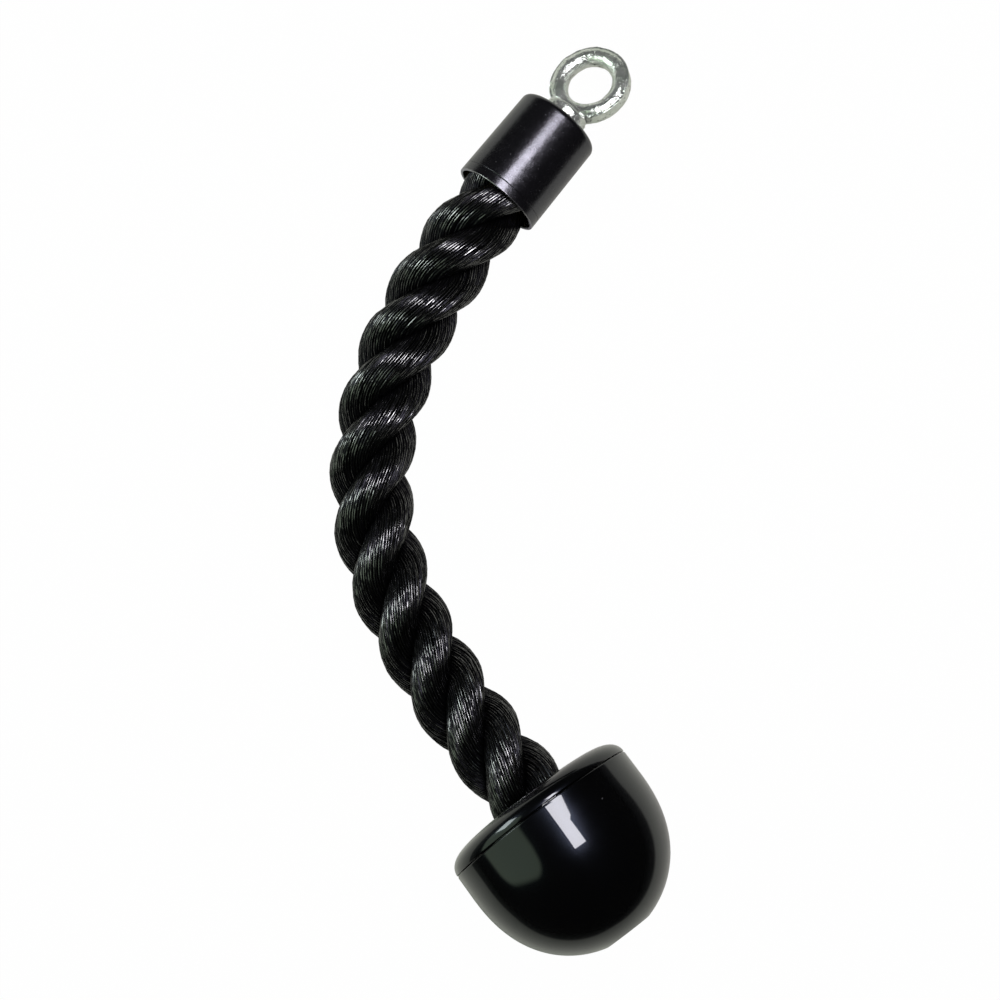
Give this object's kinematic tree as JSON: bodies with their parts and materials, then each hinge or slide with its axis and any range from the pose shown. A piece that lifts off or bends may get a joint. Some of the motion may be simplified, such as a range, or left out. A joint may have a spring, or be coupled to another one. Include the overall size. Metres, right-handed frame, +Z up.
{
  "type": "triceps rope attachment",
  "caption": "Short gym pull rope: twisted black strands held in a capped metal ferrule with a swivel eye for a cable clip, with a glossy ball stop on the other end.",
  "frame": {"origin": "bottom centre of the box round the ferrule, eye and ball, on the surface that the part lies on", "axes": "+Z up, +Y towards the eye, -Y towards the ball, -X towards the rope's bow"},
  "size_m": [0.1186, 0.3163, 0.0731],
  "materials": {
    "forged_zinc": "rough forged steel, bright zinc plated",
    "black_steel": "satin black, fine turned scratches",
    "inner_steel": "plain zinc plated",
    "white_nylon": "natural nylon",
    "cover_plastic": "moulded dark grey",
    "amber_resin": "poured resin",
    "rope_fibre": "twisted black polypropylene yarns with a slight sheen",
    "gloss_ball": "polished black"
  },
  "bodies": {
    "ferrule": {"ferrule_cup": "black_steel", "nut_cover": "cover_plastic", "ferrule_resin": "amber_resin", "rope_strand_1_upper": "rope_fibre", "rope_strand_2_upper": "rope_fibre", "rope_strand_3_upper": "rope_fibre"},
    "eye": {"eye_bolt": "forged_zinc", "eye_washer": "inner_steel", "eye_lock_nut": "inner_steel", "lock_nut_insert": "white_nylon"},
    "ball": {"rope_strand_1_lower": "rope_fibre", "rope_strand_2_lower": "rope_fibre", "rope_strand_3_lower": "rope_fibre", "rope_end_band": "inner_steel", "rope_end_disc": "inner_steel", "screw_washer": "inner_steel", "end_screw": "inner_steel", "end_plug": "gloss_ball", "ball_dome": "gloss_ball", "ball_bowl": "gloss_ball"}
  },
  "joints": [
    {"name": "eye_swivel", "type": "hinge", "parent": "ferrule", "child": "eye", "pos_m": [-0.00003, 0.1303, 0.0154], "axis": [0.6254, 0.775, -0.0906], "continuous": true},
    {"name": "rope_flex", "type": "hinge", "parent": "ferrule", "child": "ball", "pos_m": [-0.06674, -0.00514, 0.015], "axis": [0, 0, 1], "range_deg": [-76, 45], "stiffness_Nm_per_rad": 0.6, "deforming": ["rope_strand_1_upper", "rope_strand_2_upper", "rope_strand_3_upper", "rope_strand_1_lower", "rope_strand_2_lower", "rope_strand_3_lower"]}
  ]
}
